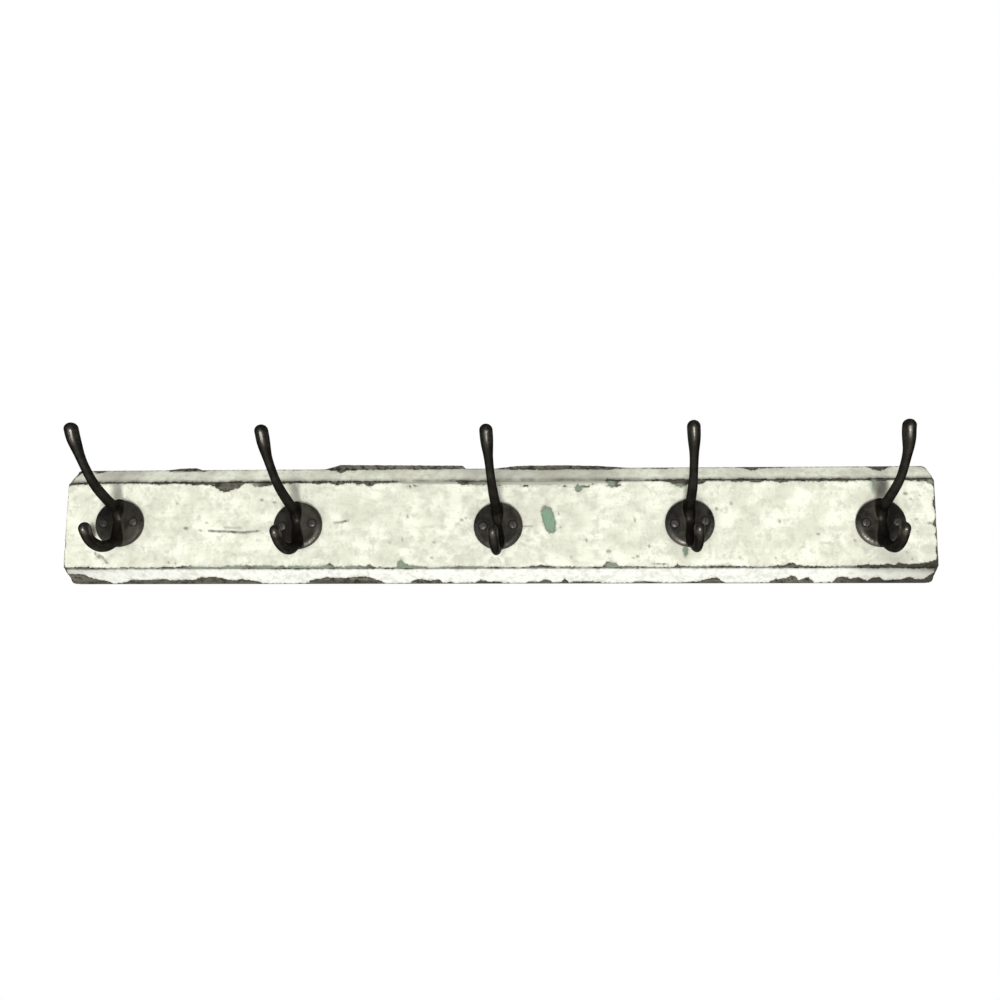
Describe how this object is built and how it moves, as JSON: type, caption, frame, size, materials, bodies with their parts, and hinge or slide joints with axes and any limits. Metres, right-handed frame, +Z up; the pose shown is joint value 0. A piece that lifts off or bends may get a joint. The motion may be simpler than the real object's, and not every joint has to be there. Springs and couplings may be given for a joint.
{
  "type": "wall hook rack",
  "caption": "Wall rack: a moulded, worn painted plank with a row of cast hat-and-coat hooks, hung on keyhole plates let into its back.",
  "frame": {"origin": "centre of the plank's back face, where it lies against the wall", "axes": "+X along the plank to the right as seen from the front, +Y into the wall so the hooks stand out along -Y, +Z up"},
  "size_m": [0.87, 0.1147, 0.146],
  "materials": {
    "painted_wood": "old cream paint over green, brushed, dirty in the moulding and chipped to grey-brown wood along the arrises",
    "black_iron": "near-black browned iron, smooth cast, satin, polished by use on the tips",
    "hook_screws": "browned steel, satin, rubbed bright on the slot's edges",
    "hanger_zinc": "zinc plated, dulled",
    "hanger_screws": "zinc plated, satin"
  },
  "bodies": {
    "root": {"moulded_plank": "painted_wood", "hook_casting_1": "black_iron", "hook_casting_2": "black_iron", "hook_casting_3": "black_iron", "hook_casting_4": "black_iron", "hook_casting_5": "black_iron", "hook_1_screw_left": "hook_screws", "hook_1_screw_right": "hook_screws", "hook_2_screw_left": "hook_screws", "hook_2_screw_right": "hook_screws", "hook_3_screw_left": "hook_screws", "hook_3_screw_right": "hook_screws", "hook_4_screw_left": "hook_screws", "hook_4_screw_right": "hook_screws", "hook_5_screw_left": "hook_screws", "hook_5_screw_right": "hook_screws", "hanger_plate_left": "hanger_zinc", "hanger_left_screw_upper": "hanger_screws", "hanger_left_screw_lower": "hanger_screws", "hanger_plate_right": "hanger_zinc", "hanger_right_screw_upper": "hanger_screws", "hanger_right_screw_lower": "hanger_screws"}
  },
  "joints": []
}
